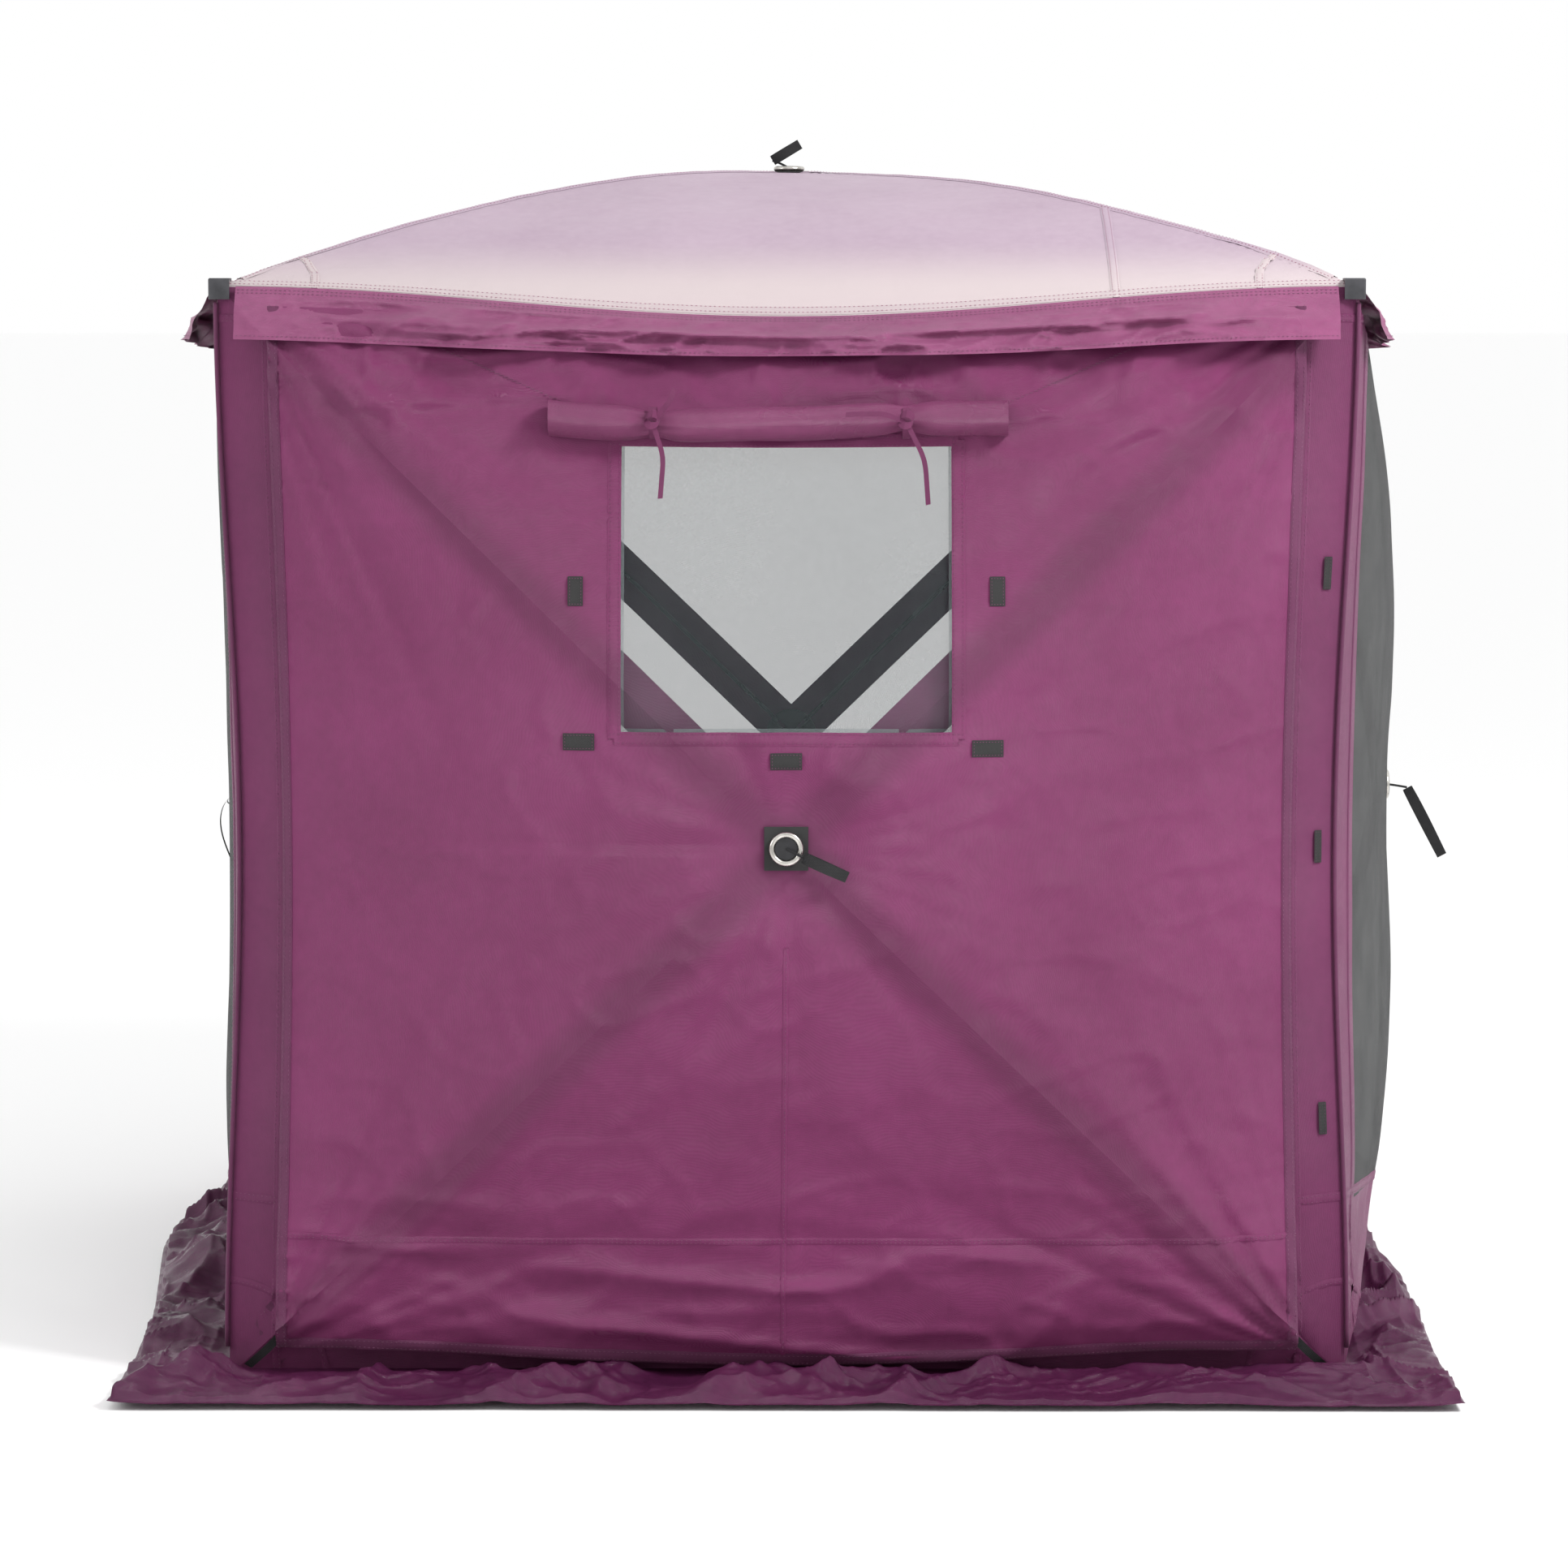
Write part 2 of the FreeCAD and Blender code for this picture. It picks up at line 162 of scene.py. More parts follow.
def warp(p):
    """Pulls the corner seams inward between the brackets, and lets the eaves sag."""
    x, y, z = p[:, 0].copy(), p[:, 1].copy(), p[:, 2].copy()
    cx, cy = np.clip(np.abs(x) / HALF, 0, 1), np.clip(np.abs(y) / HALF, 0, 1)
    upright = np.sin(math.pi * np.clip(z / HEIGHT, 0, 1)) ** 2
    seam = CORNER_BOW * upright * cx ** 6 * cy ** 6
    eave = np.clip(z / HEIGHT, 0, 1) ** 10
    over_x = np.cos(math.pi / 2 * cx) ** 2 * cy ** 6 * eave
    over_y = np.cos(math.pi / 2 * cy) ** 2 * cx ** 6 * eave
    p[:, 0] = x - np.sign(x) * (seam + EAVE_PULL * over_y)
    p[:, 1] = y - np.sign(y) * (seam + EAVE_PULL * over_x)
    p[:, 2] = z - EAVE_SAG * (over_x + over_y)
    return p


# ---- flat drawing ----

class Drawing:
    """Cloth drawn flat as points of across, up and lift, and faces with a material's number."""

    def __init__(self):
        self.points, self.faces, self.marks, self.area = [], [], [], []

    def add(self, points, faces, mark, is_cloth=False):
        base = sum(len(p) for p in self.points)
        self.points.append(np.asarray(points, float))
        self.faces += [[base + i for i in f] for f in faces]
        self.marks += [mark] * len(faces)
        self.area += [is_cloth] * len(faces)

    def grid(self, u, v, step, lift, mark):
        """A rectangle of cloth, u and v being its two ends."""
        nu, nv = max(2, round((u[1] - u[0]) / step) + 1), max(2, round((v[1] - v[0]) / step) + 1)
        us, vs = np.meshgrid(np.linspace(*u, nu), np.linspace(*v, nv))
        points = np.stack([us.ravel(), vs.ravel(), np.full(us.size, lift)], 1)
        self.add(points, quads(nu, nv), mark, True)

    def tape(self, path, width, lift, mark, step=0.012):
        """A flat tape sewn along a path, a little fuller down its middle."""
        line, side = along(path, step)
        rows = [line + side * width * k for k in (-0.5, -0.3, 0.3, 0.5)]
        lifts = (lift * 0.3, lift, lift, lift * 0.3)
        points = np.concatenate([np.column_stack([r, np.full(len(r), h)])
                                 for r, h in zip(rows, lifts)])
        self.add(points, quads(len(line), 4), mark)

    def stitches(self, path, lift, mark, pitch=0.0075, length=0.0045, width=0.0014):
        """Raised threads, one to a pitch."""
        line, side = along(path, pitch)
        forward = np.gradient(line, axis=0)
        forward /= np.linalg.norm(forward, axis=1)[:, None] + SMALL
        points, faces = [], []
        for k, (at, f, s) in enumerate(zip(line, forward, side)):
            ring = [at - f * length / 2, at + s * width / 2, at + f * length / 2,
                    at - s * width / 2]
            points += [(*q, lift) for q in ring] + [(*at, lift + 0.0008)]
            faces += [(5 * k + i, 5 * k + (i + 1) % 4, 5 * k + 4) for i in range(4)]
        self.add(points, faces, mark)

    def seam(self, path, width, lift, tape_mark, stitch_mark, rows=(-0.3, 0.3)):
        """A tape with rows of stitches, each at a share of the tape's width."""
        self.tape(path, width, lift, tape_mark)
        line, side = along(path, 0.05)
        for k in rows:
            self.stitches(line + side * width * k, lift + 0.0003, stitch_mark)


def quads(across, up):
    """The four-sided faces of a grid of points."""
    return [(j * across + i, j * across + i + 1, (j + 1) * across + i + 1, (j + 1) * across + i)
            for j in range(up - 1) for i in range(across - 1)]


def along(path, step):
    """Even points along a path of corners, and the unit side direction at each."""
    path = np.asarray(path, float)
    far = np.concatenate([[0], np.cumsum(np.linalg.norm(np.diff(path, axis=0), axis=1))])
    at = np.linspace(0, far[-1], max(2, round(far[-1] / step) + 1))
    line = np.stack([np.interp(at, far, path[:, k]) for k in (0, 1)], 1)
    forward = np.gradient(line, axis=0)
    forward /= np.linalg.norm(forward, axis=1)[:, None] + SMALL
    return line, np.stack([-forward[:, 1], forward[:, 0]], 1)


def outline(u, v):
    """The closed path round a rectangle."""
    return [(u[0], v[0]), (u[1], v[0]), (u[1], v[1]), (u[0], v[1]), (u[0], v[0])]


QUARTERS = {"top": (0, 1), "bottom": (0, -1), "right": (1, 0), "left": (-1, 0)}


def cut(bm, point, normal):
    bmesh.ops.bisect_plane(bm, geom=bm.verts[:] + bm.edges[:] + bm.faces[:], dist=1e-6,
                           plane_co=point, plane_no=normal)


def quarters(face, drawing, cuts, remove):
    """The drawing cut on the face's diagonals and on cuts, as {quarter: mesh arrays}."""
    mesh = bpy.data.meshes.new("flat")
    mesh.from_pydata(np.concatenate(drawing.points).tolist(), [], drawing.faces)
    bm = bmesh.new()
    bm.from_mesh(mesh)
    bpy.data.meshes.remove(mesh)
    mark = bm.faces.layers.int.new("mark")
    cloth = bm.faces.layers.int.new("cloth")
    for f, m, a in zip(bm.faces, drawing.marks, drawing.area):
        f[mark], f[cloth] = m, int(a)
    for sign in (1, -1):
        cut(bm, (0, 0, 0), (face.half_up, sign * HALF, 0))
    for point, normal in cuts:
        cut(bm, point, normal)
    found = {}
    groups = {name: [] for name in QUARTERS}
    for f in bm.faces:
        u, v, _ = f.calc_center_median()
        if remove and remove(u, v, f[cloth]):
            continue
        side = abs(u) / HALF > abs(v) / face.half_up
        name = ("right" if u > 0 else "left") if side else ("top" if v > 0 else "bottom")
        groups[name].append(f)
    for name, members in groups.items():
        index, points, faces, marks, area = {}, [], [], [], 0.0
        for f in members:
            for vert in f.verts:
                if vert.index not in index:
                    index[vert.index] = len(points)
                    points.append(tuple(vert.co))
            faces.append([index[vert.index] for vert in f.verts])
            marks.append(f[mark])
            area += f.calc_area() if f[cloth] else 0
        found[name] = (np.array(points), faces, marks, area)
    bm.free()
    return found


def mesh_object(name, points, faces, marks, materials):
    mesh = bpy.data.meshes.new(name)
    mesh.from_pydata(np.asarray(points).tolist(), [], faces)
    for m in materials:
        mesh.materials.append(m)
    mesh.polygons.foreach_set("material_index", marks)
    mesh.polygons.foreach_set("use_smooth", [True] * len(faces))
    mesh.update()
    obj = bpy.data.objects.new(name, mesh)
    bpy.context.scene.collection.objects.link(obj)
    return obj


def bend(obj):
    """Bakes the piece's placement into its points."""
    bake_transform(obj)


def painted_sleeve_shade(face, u, v):
    """Painted shade where a rod's sleeve behind the cloth would block the light through it, from
    0 to 1.
    """
    scale = math.hypot(HALF, face.half_up)
    first = np.abs(u * face.half_up - v * HALF) / scale
    second = np.abs(u * face.half_up + v * HALF) / scale
    return np.clip(1.6 - np.minimum(first, second) / 0.032, 0, 1)


def hang(name, face, drawing, materials, lift, wrinkle, cuts=(), remove=None,
         replaced=(), droop=None):
    """Makes the four quarters of a drawing on a face."""
    made = {}
    for quarter, (points, faces, marks, area) in quarters(face, drawing, cuts, remove).items():
        if not faces:
            continue
        u, v = points[:, 0], points[:, 1]
        out = face.bow(u, v) + lift + points[:, 2] + wrinkle(u, v)
        height = v + droop(u, v) if droop else v
        obj = mesh_object(f"{name}_{quarter}", face.world(u, height, out), faces, marks,
                          materials)
        # Painted shade over the rods' sleeves behind the cloth, kept on each point for the
        # material.
        shade = obj.data.attributes.new("sleeve_shade", "FLOAT", "POINT")
        shade.data.foreach_set("value", painted_sleeve_shade(face, u, v).astype(np.float32))
        bend(obj)
        size = np.ptp(points[:, :2], axis=0)
        float(min(area, size.prod()))
        made[quarter] = obj
    if replaced:
        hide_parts(*replaced)
    return made


# ---- materials ----

def linear(code):
    """A colour from its usual six hex digits."""
    parts = [int(code[i:i + 2], 16) / 255 for i in (0, 2, 4)]
    return [*(p / 12.92 if p < 0.04045 else ((p + 0.055) / 1.055) ** 2.4 for p in parts), 1]


class Nodes:
    """A short way to write a material's nodes."""

    def __init__(self, name):
        self.material = bpy.data.materials.new(name)
        self.material.use_nodes = True
        self.tree = self.material.node_tree
        self.shader = self.tree.nodes["Principled BSDF"]
        self.place = self.add("ShaderNodeTexCoord").outputs["Object"]

    def add(self, kind, **values):
        node = self.tree.nodes.new(kind)
        for key, value in values.items():
            if hasattr(node, key):
                setattr(node, key, value)
            else:
                node.inputs[key.replace("_", " ").title()].default_value = value
        return node

    def link(self, source, target):
        self.tree.links.new(source, target)

    def noise(self, scale, detail=3.0):
        node = self.add("ShaderNodeTexNoise", Scale=scale, Detail=detail)
        self.link(self.place, node.inputs["Vector"])
        return node.outputs["Fac"]

    def wave(self, scale, direction):
        node = self.add("ShaderNodeTexWave", Scale=scale, bands_direction=direction)
        self.link(self.place, node.inputs["Vector"])
        return node.outputs["Fac"]

    def math(self, operation, a, b):
        node = self.add("ShaderNodeMath", operation=operation)
        for socket, value in zip(node.inputs, (a, b)):
            if isinstance(value, (int, float)):
                socket.default_value = value
            else:
                self.link(value, socket)
        return node.outputs[0]

    def mix(self, factor, a, b):
        node = self.add("ShaderNodeMix", data_type="RGBA")
        for socket, value in ((node.inputs["Factor"], factor), (node.inputs[6], a),
                              (node.inputs[7], b)):
            if isinstance(value, (list, tuple, int, float)):
                socket.default_value = value
            else:
                self.link(value, socket)
        return node.outputs[2]

    def bump(self, height, distance, strength=0.6):
        node = self.add("ShaderNodeBump", Strength=strength, Distance=distance)
        self.link(height, node.inputs["Height"])
        self.link(node.outputs["Normal"], self.shader.inputs["Normal"])

    def spread(self, factor, low, high):
        node = self.add("ShaderNodeMapRange")
        self.link(factor, node.inputs["Value"])
        for key, value in (("From Min", 0.3), ("From Max", 0.7), ("To Min", low),
                           ("To Max", high)):
            node.inputs[key].default_value = value
        return node.outputs["Result"]


def cloth(name, light, dark, roughness=0.6, sheen=0.25, alpha=1.0, sleeve_shade=0.0, weave=420.0,
          edge=None):
    """Coated oxford cloth: two thread directions, uneven dye and a soft sheen.

    band is painted shade over the rods' sleeves behind it, and edge is the colour it fades to at
    the eaves."""
    n = Nodes(name)
    threads = n.math("ADD", n.math("ADD", n.wave(weave, "X"), n.wave(weave, "Y")),
                     n.wave(weave, "Z"))
    dye = n.spread(n.math("ADD", n.math("MULTIPLY", n.noise(3.0), 0.7),
                          n.math("MULTIPLY", n.noise(60.0, 2.0), 0.3)), 0.0, 1.0)
    colour = n.mix(dye, linear(dark), linear(light))
    if edge:
        height = n.add("ShaderNodeSeparateXYZ")
        n.link(n.place, height.inputs[0])
        fade = n.add("ShaderNodeMapRange", interpolation_type="SMOOTHSTEP")
        n.link(height.outputs["Z"], fade.inputs["Value"])
        for key, value in (("From Min", HEIGHT - 0.005), ("From Max", HEIGHT + 0.085)):
            fade.inputs[key].default_value = value
        colour = n.mix(fade.outputs["Result"], linear(edge), colour)
    threads_share = n.math("MULTIPLY", threads, 0.09)
    colour = n.mix(threads_share, colour, [c * 0.55 for c in linear(dark)[:3]] + [1])
    # Painted shade: darkens the cloth where the rods' sleeves behind it would block the light
    # through it.
    if sleeve_shade:
        painted_shade = n.add("ShaderNodeAttribute", attribute_name="sleeve_shade").outputs["Fac"]
        colour = n.mix(n.math("MULTIPLY", painted_shade, sleeve_shade), colour,
                       [c * 0.45 for c in linear(dark)[:3]] + [1])
    n.link(colour, n.shader.inputs["Base Color"])
    n.link(n.spread(n.noise(9.0), roughness - 0.08, roughness + 0.08),
           n.shader.inputs["Roughness"])
    n.shader.inputs["Sheen Weight"].default_value = sheen
    n.shader.inputs["Sheen Roughness"].default_value = 0.5
    n.shader.inputs["Specular IOR Level"].default_value = 0.35
    n.shader.inputs["Alpha"].default_value = alpha
    height = n.math("ADD", n.math("MULTIPLY", threads, 0.25), n.noise(45.0, 4.0))
    n.bump(height, 0.0012)
    return n.material


def webbing(name, light, dark, scale=260.0):
    """Narrow woven strap with ribs."""
    n = Nodes(name)
    ribs = n.math("MULTIPLY", n.wave(scale, "DIAGONAL"), n.wave(scale * 0.7, "Z"))
    n.link(n.mix(ribs, linear(dark), linear(light)), n.shader.inputs["Base Color"])
    n.link(n.spread(n.noise(20.0), 0.7, 0.9), n.shader.inputs["Roughness"])
    n.bump(ribs, 0.0012, 0.9)
    return n.material


def moulding(name, light, dark, roughness=0.45):
    """Moulded plastic with a fine grain and rubbed high spots."""
    n = Nodes(name)
    n.link(n.mix(n.spread(n.noise(35.0), 0.0, 1.0), linear(dark), linear(light)),
           n.shader.inputs["Base Color"])
    n.link(n.spread(n.noise(14.0), roughness - 0.1, roughness + 0.12),
           n.shader.inputs["Roughness"])
    n.bump(n.noise(900.0, 2.0), 0.0004, 0.5)
    return n.material


def metal(name, light, dark, roughness=0.22):
    n = Nodes(name)
    n.link(n.mix(n.spread(n.noise(50.0), 0.0, 1.0), linear(dark), linear(light)),
           n.shader.inputs["Base Color"])
    n.link(n.spread(n.noise(120.0), roughness - 0.06, roughness + 0.12),
           n.shader.inputs["Roughness"])
    n.shader.inputs["Metallic"].default_value = 1.0
    n.bump(n.noise(700.0, 2.0), 0.0002, 0.3)
    return n.material


# The panel carries painted shade over the rods' sleeves behind it.
PANEL = cloth("panel_cloth", "7B2B5E", "6A214F", roughness=0.40, sheen=0.03, sleeve_shade=0.40)
WALL = cloth("wall_cloth", "722A58", "60204A", roughness=0.44, sheen=0.03)
# Painted shade: the sleeves are the wall's purple cloth, painted darker for the shade inside the
# shelter.
SHADED_SLEEVE = cloth("sleeve_cloth_painted_shade", "642A50", "50203F", sheen=0.03)
# Painted shade: this copy of the wall mesh, for the side walls, is painted near black for the
# shade it is seen in; the pale copy below is the same cloth.
MESH = cloth("wall_mesh", "17191B", "0F1113", alpha=0.88, sheen=0.1, weave=700.0)
PALE_MESH = cloth("pale_wall_mesh", "A5AEB0", "8F999C", alpha=0.5, sheen=0.1, weave=700.0)
SCREEN = cloth("window_mesh", "98A3A6", "6E7B7F", alpha=0.13, sheen=0.1, weave=700.0)
CANOPY = cloth("roof_cloth", "B59FB0", "A48C9F", roughness=0.48, sheen=0.1, edge="C6B8B9")
CREAM = cloth("roof_cream", "C6B8B9", "B9A9AD", roughness=0.55, sheen=0.1)
VALANCE = cloth("valance_cloth", "924A74", "7A3860", roughness=0.34, sheen=0.04)
SKIRT = cloth("skirt_cloth", "5E264B", "441738", roughness=0.2, sheen=0.0)
THREAD = cloth("thread", "7E4268", "6A3055", weave=900.0)
ROOF_THREAD = cloth("roof_thread", "A8617F", "8E4A68", weave=900.0)
DARK_THREAD = cloth("dark_thread", "5A2748", "4A1F3B", weave=900.0)
BORDER = cloth("border_tape", "672A51", "582145", sheen=0.06)
BLACK = webbing("black_webbing", "2E2E30", "121214")
HOOKS = webbing("hook_and_loop", "4A4A4A", "2B2B2B", 700.0)
RIBBON = cloth("ribbon", "742C58", "5E2048", weave=600.0, sheen=0.03)
FLAP = cloth("flap_cloth", "7C3660", "68284F", roughness=0.32, sheen=0.03)
PLASTIC = moulding("black_moulding", "26262A", "141416")
GREY_PLASTIC = moulding("grey_moulding", "3C3C40", "242428")
NICKEL = metal("nickel", "D9D6D0", "A8A59F")
STEEL = metal("steel", "B8B8BA", "8C8C90", 0.35)
RODS = moulding("fibreglass", "202024", "101012", 0.3)
ZIP = moulding("zip_coil", "2A2A2C", "161618", 0.5)


# ---- walls ----

BAND_TOP = 0.27
STRIP = 0.078
SLEEVE_HALF = 0.043
LOWER_ROUND = 0.16
SEAM_LIFT = 0.0014
screen_low, screen_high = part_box("window_screen")
WINDOW_U = (screen_low.x, screen_high.x)
WINDOW_V = (screen_low.z - MID, screen_high.z - MID)


def in_window(u, v):
    return WINDOW_U[0] < u < WINDOW_U[1] and WINDOW_V[0] < v < WINDOW_V[1]


def taut(u, v):
    """A tight wall: the cloth sinks a little between its rods, with a few pull lines."""
    s = np.maximum(np.abs(u) / HALF, np.abs(v) / MID)
    other = np.minimum(np.abs(u) / HALF, np.abs(v) / MID)
    sink = -0.012 * np.sin(math.pi * np.clip(s, 0, 1)) * (1 - (other / (s + SMALL)) ** 2)
    low = -0.5 * (np.tanh((v + MID - 0.3) * 18) - 1)
    puckers = 0.003 * low * noise(u * 16, v * 5, 3) + 0.0015 * noise(u * 7, v * 7, 4)
    for side in (-1, 1):
        puckers += 0.010 * (rays(u, v, (side * 0.9, -0.88), 80, 91, 0.30) - 0.5) * low
    return sink + puckers * np.clip((1 - s) * 12, 0, 1)


def sleeve(drawing, half_up, side):
    """A rod's sleeve inside the wall along one diagonal, with a stitched edge each side."""
    reach_u, reach_v = HALF * DIAGONAL_REACH, half_up * DIAGONAL_REACH
    path = [(-reach_u, -side * reach_v), (reach_u, side * reach_v)]
    drawing.seam(path, 2 * SLEEVE_HALF, -0.0022, 1, 2, (-0.44, 0.44))


def quarter_round(side):
    """The curved edge of the doubled cloth in a wall's lower corner."""
    angles = np.linspace(0, math.pi / 2, 14)
    return [(side * (HALF - LOWER_ROUND * math.cos(a)), LOWER_ROUND * math.sin(a) - MID)
            for a in angles]


def wall(face):
    """A mesh wall with its seams, sleeves and solid bands."""
    d = Drawing()
    d.grid((-HALF, HALF), (-face.half_up, face.half_up), 0.02, 0.0, 0)
    for side in (1, -1):
        sleeve(d, face.half_up, side)
    low = BAND_TOP - MID
    arc = [(u, low + 0.03 * (u / HALF) ** 2) for u in np.linspace(-HALF, HALF, 40)]
    d.seam(arc, 0.016, SEAM_LIFT, 3, 2)
    for side in (-1, 1):
        u = side * (HALF - STRIP)
        d.seam([(u, -face.half_up), (u, face.half_up)], 0.014, SEAM_LIFT, 3, 2)
        d.seam(quarter_round(side), 0.012, SEAM_LIFT, 3, 2, (0.0,))
    d.seam([(-HALF, face.half_up - 0.05), (HALF, face.half_up - 0.05)], 0.014, SEAM_LIFT, 3, 2)

    def gap(u, v, is_cloth):
        behind = face is FRONT and is_cloth and in_window(u, v)
        return math.hypot(u, v) < HUB_HOLE or behind

    cuts = [((side * (HALF - STRIP), 0, 0), (1, 0, 0)) for side in (-1, 1)]
    cuts += [((0, low + 0.01, 0), (0, 1, 0)), ((0, face.half_up - 0.05, 0), (0, 1, 0))]
    # The side walls get the copy of the mesh with painted shade; the front and back get the pale
    # copy.
    mesh_cloth = PALE_MESH if face.name in ("front", "back") else MESH
    made = hang(f"wall_{face.name}", face, d, [mesh_cloth, SHADED_SLEEVE, THREAD, WALL],
                0.0, taut, cuts, gap, (face.node,))
    for obj in made.values():
        colour_bands(obj, face)


def colour_bands(obj, face):
    """Gives the solid strips down the corners and along the foot and head their own cloth."""
    for p in obj.data.polygons:
        if p.material_index:
            continue
        c = np.array(p.center) - face.centre
        u, v = abs(c @ face.across), c @ face.up
        if u > HALF - STRIP - CORNER_BOW or v < BAND_TOP - MID + 0.01 or v > MID - 0.055:
            p.material_index = 3


for wall_face in WALLS:
    wall(wall_face)


# ---- the wind panel, its window and what is sewn on it ----

PANEL_U = 0.83
PANEL_V = (0.05 - MID, 1.75 - MID)


def slack(u, v):
    """The panel's folds: pull lines from the hub and corners, and billows along head and foot."""
    s = np.maximum(np.abs(u) / HALF, np.abs(v) / MID)
    total = 0.0060 * rays(u, v, (0, 0), 30, 1, 0.30)
    for k, corner in enumerate([(0.87, 0.87), (-0.87, 0.87), (0.87, -0.87), (-0.87, -0.87)]):
        total += 0.0070 * rays(u, v, corner, 64, 5 + 3 * k, 0.55)
        total += 0.0035 * fan(u, v, corner, 0.30, 9.0, 70 + k)
    total += 0.0050 * (1 + noise(u * 2.1, v * 2.9, 23))
    total += 0.0016 * crease(u * 3.1 + v, v * 5.3 - u, 21, 3.0)
    low = np.clip(1 - (v + MID) / 0.42, 0, 1)
    total += 0.016 * low * (0.5 + 0.5 * noise(u * 5 + v * 3, v * 6.5, 24))
    total += 0.013 * low * crease(u * 3.2 - v * 2, v * 11 + u, 28)
    total += 0.005 * low * crease(u * 9 - v * 4, v * 19 + u * 2, 33)
    high = np.clip(1 - (MID - v) / 0.34, 0, 1)
    total += 0.016 * high * (0.5 + 0.5 * noise(u * 7, v * 8 + u * 2, 25))
    total += 0.013 * high * crease(u * 5 + v * 3, v * 13 - u * 2, 29)
    total += 0.007 * high * crease(u * 15 - v * 5, v * 17 + u * 4, 30)
    total += 0.0006 * noise(u * 38, v * 38, 26)
    total += 0.022 * np.clip(1 - (v + MID - 0.05) / 0.2, 0, 1) ** 1.5
    total += 0.0016 * crease(u * 8 + v * 5, v * 11 - u * 3, 34, 3.0)
    near_hub = 1 - np.exp(-(np.hypot(u, v) / 0.12) ** 4)
    return 1.35 * total * near_hub * (0.35 + 0.65 * np.clip((1 - s) * 9, 0, 1))


def droop(u, v):
    """The panel's hem hangs lower in its middle than at its corners."""
    low = np.clip(1 - (v + MID - 0.05) / 0.3, 0, 1) ** 2
    return low * (0.012 - 0.03 * np.cos(math.pi / 2 * u / PANEL_U) ** 2)


def panel_drawing():
    """The panel's cloth with its hems, seams and window frame."""
    d = Drawing()
    d.grid((-PANEL_U, PANEL_U), PANEL_V, 0.0085, 0.0, 0)
    for side in (-1, 1):
        u = side * (PANEL_U - 0.008)
        d.seam([(u, PANEL_V[0]), (u, PANEL_V[1])], 0.018, 0.0022, 1, 2)
        for k in (1, 2, 3, 4):
            at = side * (0.62 - 0.03 * k), PANEL_V[1] - 0.03 - 0.012 * k
            d.stitches([at, (at[0] - side * 0.16, at[1] - 0.07)], 0.0004, 2)
    d.seam([(-PANEL_U, PANEL_V[0] + 0.008), (PANEL_U, PANEL_V[0] + 0.008)], 0.02, 0.0024, 1, 2)
    low = 0.245 - MID
    d.seam([(-PANEL_U, low), (PANEL_U, low)], 0.011, 0.0012, 0, 2, (-0.2, 0.2))
    d.seam([(0, -0.16), (-0.006, PANEL_V[0])], 0.009, 0.0012, 0, 2, (0.0,))
    edge_u = (WINDOW_U[0] - 0.009, WINDOW_U[1] + 0.009)
    edge_v = (WINDOW_V[0] - 0.009, WINDOW_V[1] + 0.009)
    for start, end in zip(outline(edge_u, edge_v), outline(edge_u, edge_v)[1:]):
        d.seam([start, end], 0.022, 0.0013, 0, 2, (-0.3, 0.36))
    return d


def patch(d, at, size):
    """A hook-and-loop patch with its stitched edge."""
    u, v = (at[0] - size[0] / 2, at[0] + size[0] / 2), (at[1] - size[1] / 2, at[1] + size[1] / 2)
    middle = (v[0] + v[1]) / 2
    d.tape([(u[0], middle), (u[1], middle)], size[1], 0.0028, 4, 0.005)
    inset = 0.003
    border = outline((u[0] + inset, u[1] - inset), (v[0] + inset, v[1] - inset))
    for start, end in zip(border, border[1:]):
        d.stitches([start, end], 0.0031, 5, 0.005, 0.003, 0.0012)


def wind_panel():
    """The panel over the front wall, with the patches sewn on it."""
    d = panel_drawing()
    for at, size in (((-0.335, 1.3 - MID), (0.024, 0.047)), ((0.335, 1.3 - MID), (0.024, 0.047)),
                     ((-0.33, 1.06 - MID), (0.05, 0.027)), ((0, 1.03 - MID), (0.05, 0.027)),
                     ((0.32, 1.05 - MID), (0.05, 0.027))):
        patch(d, at, size)

    def gap(u, v, is_cloth):
        return (is_cloth and in_window(u, v)) or math.hypot(u, v) < HUB_HOLE

    cuts = [((u, 0, 0), (1, 0, 0)) for u in WINDOW_U]
    cuts += [((0, v, 0), (0, 1, 0)) for v in WINDOW_V]
    hang("wind_panel", FRONT, d, [PANEL, BORDER, THREAD, BORDER, HOOKS, THREAD],
         PANEL_LIFT, slack, cuts, gap, ("wind_panel",), droop)


def window():
    """The see-through screen, which follows the panel's folds by half."""
    d = Drawing()
    d.grid(WINDOW_U, WINDOW_V, 0.014, 0.0, 0)
    hang("window_screen", FRONT, d, [SCREEN], PANEL_LIFT,
         lambda u, v: slack(u, v) * 0.5, (), None, ("window_screen",))


def edge_patches():
    """The patches on the wall's right-hand strip, beside the panel."""
    d = Drawing()
    for height in (0.43, 0.875, 1.32):
        patch(d, (0.885, height - MID), (0.014, 0.053))
    parts = quarters(FRONT, d, (), None)
    for quarter, (points, faces, marks, _) in parts.items():
        if not faces:
            continue
        u, v = points[:, 0], points[:, 1]
        out = FRONT.bow(u, v) + 0.002 + points[:, 2] + taut(u, v)
        obj = mesh_object(f"edge_patches_{quarter}", FRONT.world(u, v, out), faces, marks,
                          [HOOKS, HOOKS, HOOKS, HOOKS, HOOKS, DARK_THREAD])
        bend(obj)
        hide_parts("hook_loop_patches")


wind_panel()
window()
edge_patches()


# ---- the rolled flap and its ribbons ----

def swept(name, sections, materials, closed=False):
    """A sheet through a row of equal sections."""
    sections = np.asarray(sections)
    rows, count = sections.shape[:2]
    faces = quads(count, rows)
    if closed:
        faces += [(j * count + count - 1, j * count, (j + 1) * count, (j + 1) * count + count - 1)
                  for j in range(rows - 1)]
    return mesh_object(name, sections.reshape(-1, 3), faces, [0] * len(faces), materials)


